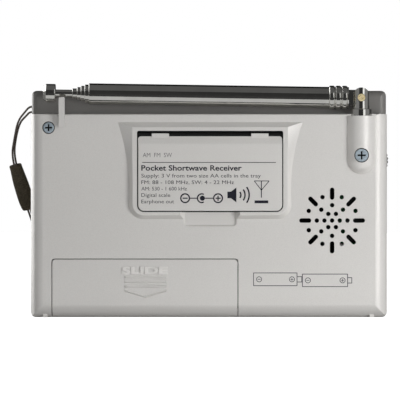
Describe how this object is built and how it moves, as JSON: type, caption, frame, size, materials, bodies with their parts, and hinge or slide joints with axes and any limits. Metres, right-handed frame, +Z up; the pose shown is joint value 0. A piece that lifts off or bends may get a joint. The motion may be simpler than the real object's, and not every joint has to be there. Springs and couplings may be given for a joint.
{
  "type": "shortwave receiver",
  "caption": "Pocket multi-band radio seen from its back: silver case, folding stand, telescopic aerial on a swivel, sliding battery door and wrist strap.",
  "frame": {"origin": "on the surface that the receiver stands on, in the middle of the case", "axes": "+X along the width towards the aerial's swivel, +Y from the back of the case to its front, +Z up"},
  "size_m": [0.13, 0.0509, 0.0788],
  "materials": {
    "case_silver": "satin silver finish on moulded plastic",
    "case_grey": "dark grey gloss",
    "steel": "zinc plated",
    "dark_steel": "black finish",
    "chrome": "polished plating",
    "brass": "plain",
    "black_plastic": "moulded",
    "wheel_plastic": "moulded, toothed",
    "button_plastic": "silver",
    "window": "dark red tinted acrylic",
    "board": "green glass-fibre laminate",
    "ferrite": "sintered",
    "copper_winding": "enamelled wire",
    "can_metal": "drawn",
    "paper": "pressed paper cone",
    "cell_sleeve": "printed sleeve",
    "cord": "waxed cord",
    "sleeve": "olive brown"
  },
  "bodies": {
    "case": {"back_shell": "case_silver", "front_shell": "case_grey", "stand_pin": "dark_steel", "aerial_rest": "case_silver", "case_screw": "steel", "aerial_screw": "steel", "aerial_bracket": "brass", "volume_control": "black_plastic", "tuning_capacitor": "black_plastic", "band_switch": "black_plastic", "tact_switches": "black_plastic", "display_window": "window", "display_module": "black_plastic", "main_board": "board", "tuner_chip": "black_plastic", "coil_cans": "can_metal", "capacitors": "can_metal", "ferrite_rod": "ferrite", "ferrite_coil": "copper_winding", "speaker": "dark_steel", "speaker_cone": "paper", "battery_cells": "cell_sleeve", "battery_spring_contact": "steel", "battery_end_contact": "steel", "jack_board": "board", "earphone_socket": "black_plastic", "supply_socket": "black_plastic", "strap_cord": "cord", "strap_sleeve": "sleeve"},
    "battery_door": {"battery_door": "case_silver"},
    "kickstand": {"kickstand": "case_silver"},
    "aerial_swivel": {"aerial_swivel": "chrome", "aerial_pivot": "brass", "swivel_clip": "steel"},
    "aerial_1": {"aerial_section_1": "chrome", "aerial_collar": "chrome"},
    "aerial_2": {"aerial_section_2": "chrome"},
    "aerial_3": {"aerial_section_3": "chrome"},
    "aerial_4": {"aerial_section_4": "chrome"},
    "aerial_5": {"aerial_section_5": "chrome"},
    "aerial_6": {"aerial_section_6": "chrome", "aerial_knob": "chrome"},
    "volume_wheel": {"volume_wheel": "wheel_plastic"},
    "tuning_wheel": {"tuning_wheel": "wheel_plastic"},
    "band_selector": {"band_selector": "button_plastic"},
    "button_1": {"button_1": "button_plastic"},
    "button_2": {"button_2": "button_plastic"},
    "button_3": {"button_3": "button_plastic"},
    "button_4": {"button_4": "button_plastic"},
    "button_5": {"button_5": "button_plastic"}
  },
  "joints": [
    {"name": "door_slide", "type": "slide", "parent": "case", "child": "battery_door", "axis": [0, 0, -1], "range_m": [0, 0.02]},
    {"name": "stand_fold", "type": "hinge", "parent": "case", "child": "kickstand", "pos_m": [0.0004, -0.0144, 0.0616], "axis": [-1, 0, 0], "range_deg": [0, 60]},
    {"name": "aerial_turn", "type": "hinge", "parent": "case", "child": "aerial_swivel", "pos_m": [0.0512, -0.0123, 0.0739], "axis": [0, 0, 1], "range_deg": [0, 180]},
    {"name": "aerial_tilt", "type": "hinge", "parent": "aerial_swivel", "child": "aerial_1", "pos_m": [0.0512, -0.0123, 0.0739], "axis": [0, 1, 0], "range_deg": [0, 178]},
    {"name": "aerial_slide_2", "type": "slide", "parent": "aerial_1", "child": "aerial_2", "axis": [-0.9999, 0, 0.015], "range_m": [0, 0.068]},
    {"name": "aerial_slide_3", "type": "slide", "parent": "aerial_2", "child": "aerial_3", "axis": [-0.9999, 0, 0.015], "range_m": [0, 0.068]},
    {"name": "aerial_slide_4", "type": "slide", "parent": "aerial_3", "child": "aerial_4", "axis": [-0.9999, 0, 0.015], "range_m": [0, 0.068]},
    {"name": "aerial_slide_5", "type": "slide", "parent": "aerial_4", "child": "aerial_5", "axis": [-0.9999, 0, 0.015], "range_m": [0, 0.068]},
    {"name": "aerial_slide_6", "type": "slide", "parent": "aerial_5", "child": "aerial_6", "axis": [-0.9999, 0, 0.015], "range_m": [0, 0.068]},
    {"name": "volume_turn", "type": "hinge", "parent": "case", "child": "volume_wheel", "pos_m": [0.053, 0.003, 0.053], "axis": [0, 1, 0], "range_deg": [0, 300]},
    {"name": "tuning_turn", "type": "hinge", "parent": "case", "child": "tuning_wheel", "pos_m": [-0.0486, 0.003, 0.0375], "axis": [0, 1, 0], "range_deg": [0, 180]},
    {"name": "band_slide", "type": "slide", "parent": "case", "child": "band_selector", "axis": [1, 0, 0], "range_m": [0, 0.018]},
    {"name": "button_1_press", "type": "slide", "parent": "case", "child": "button_1", "axis": [0, -1, 0], "range_m": [0, 0.0008], "stiffness_N_per_m": 250, "springref_m": -0.0008},
    {"name": "button_2_press", "type": "slide", "parent": "case", "child": "button_2", "axis": [0, -1, 0], "range_m": [0, 0.0008], "stiffness_N_per_m": 250, "springref_m": -0.0008},
    {"name": "button_3_press", "type": "slide", "parent": "case", "child": "button_3", "axis": [0, -1, 0], "range_m": [0, 0.0008], "stiffness_N_per_m": 250, "springref_m": -0.0008},
    {"name": "button_4_press", "type": "slide", "parent": "case", "child": "button_4", "axis": [0, -1, 0], "range_m": [0, 0.0008], "stiffness_N_per_m": 250, "springref_m": -0.0008},
    {"name": "button_5_press", "type": "slide", "parent": "case", "child": "button_5", "axis": [0, -1, 0], "range_m": [0, 0.0008], "stiffness_N_per_m": 250, "springref_m": -0.0008}
  ]
}
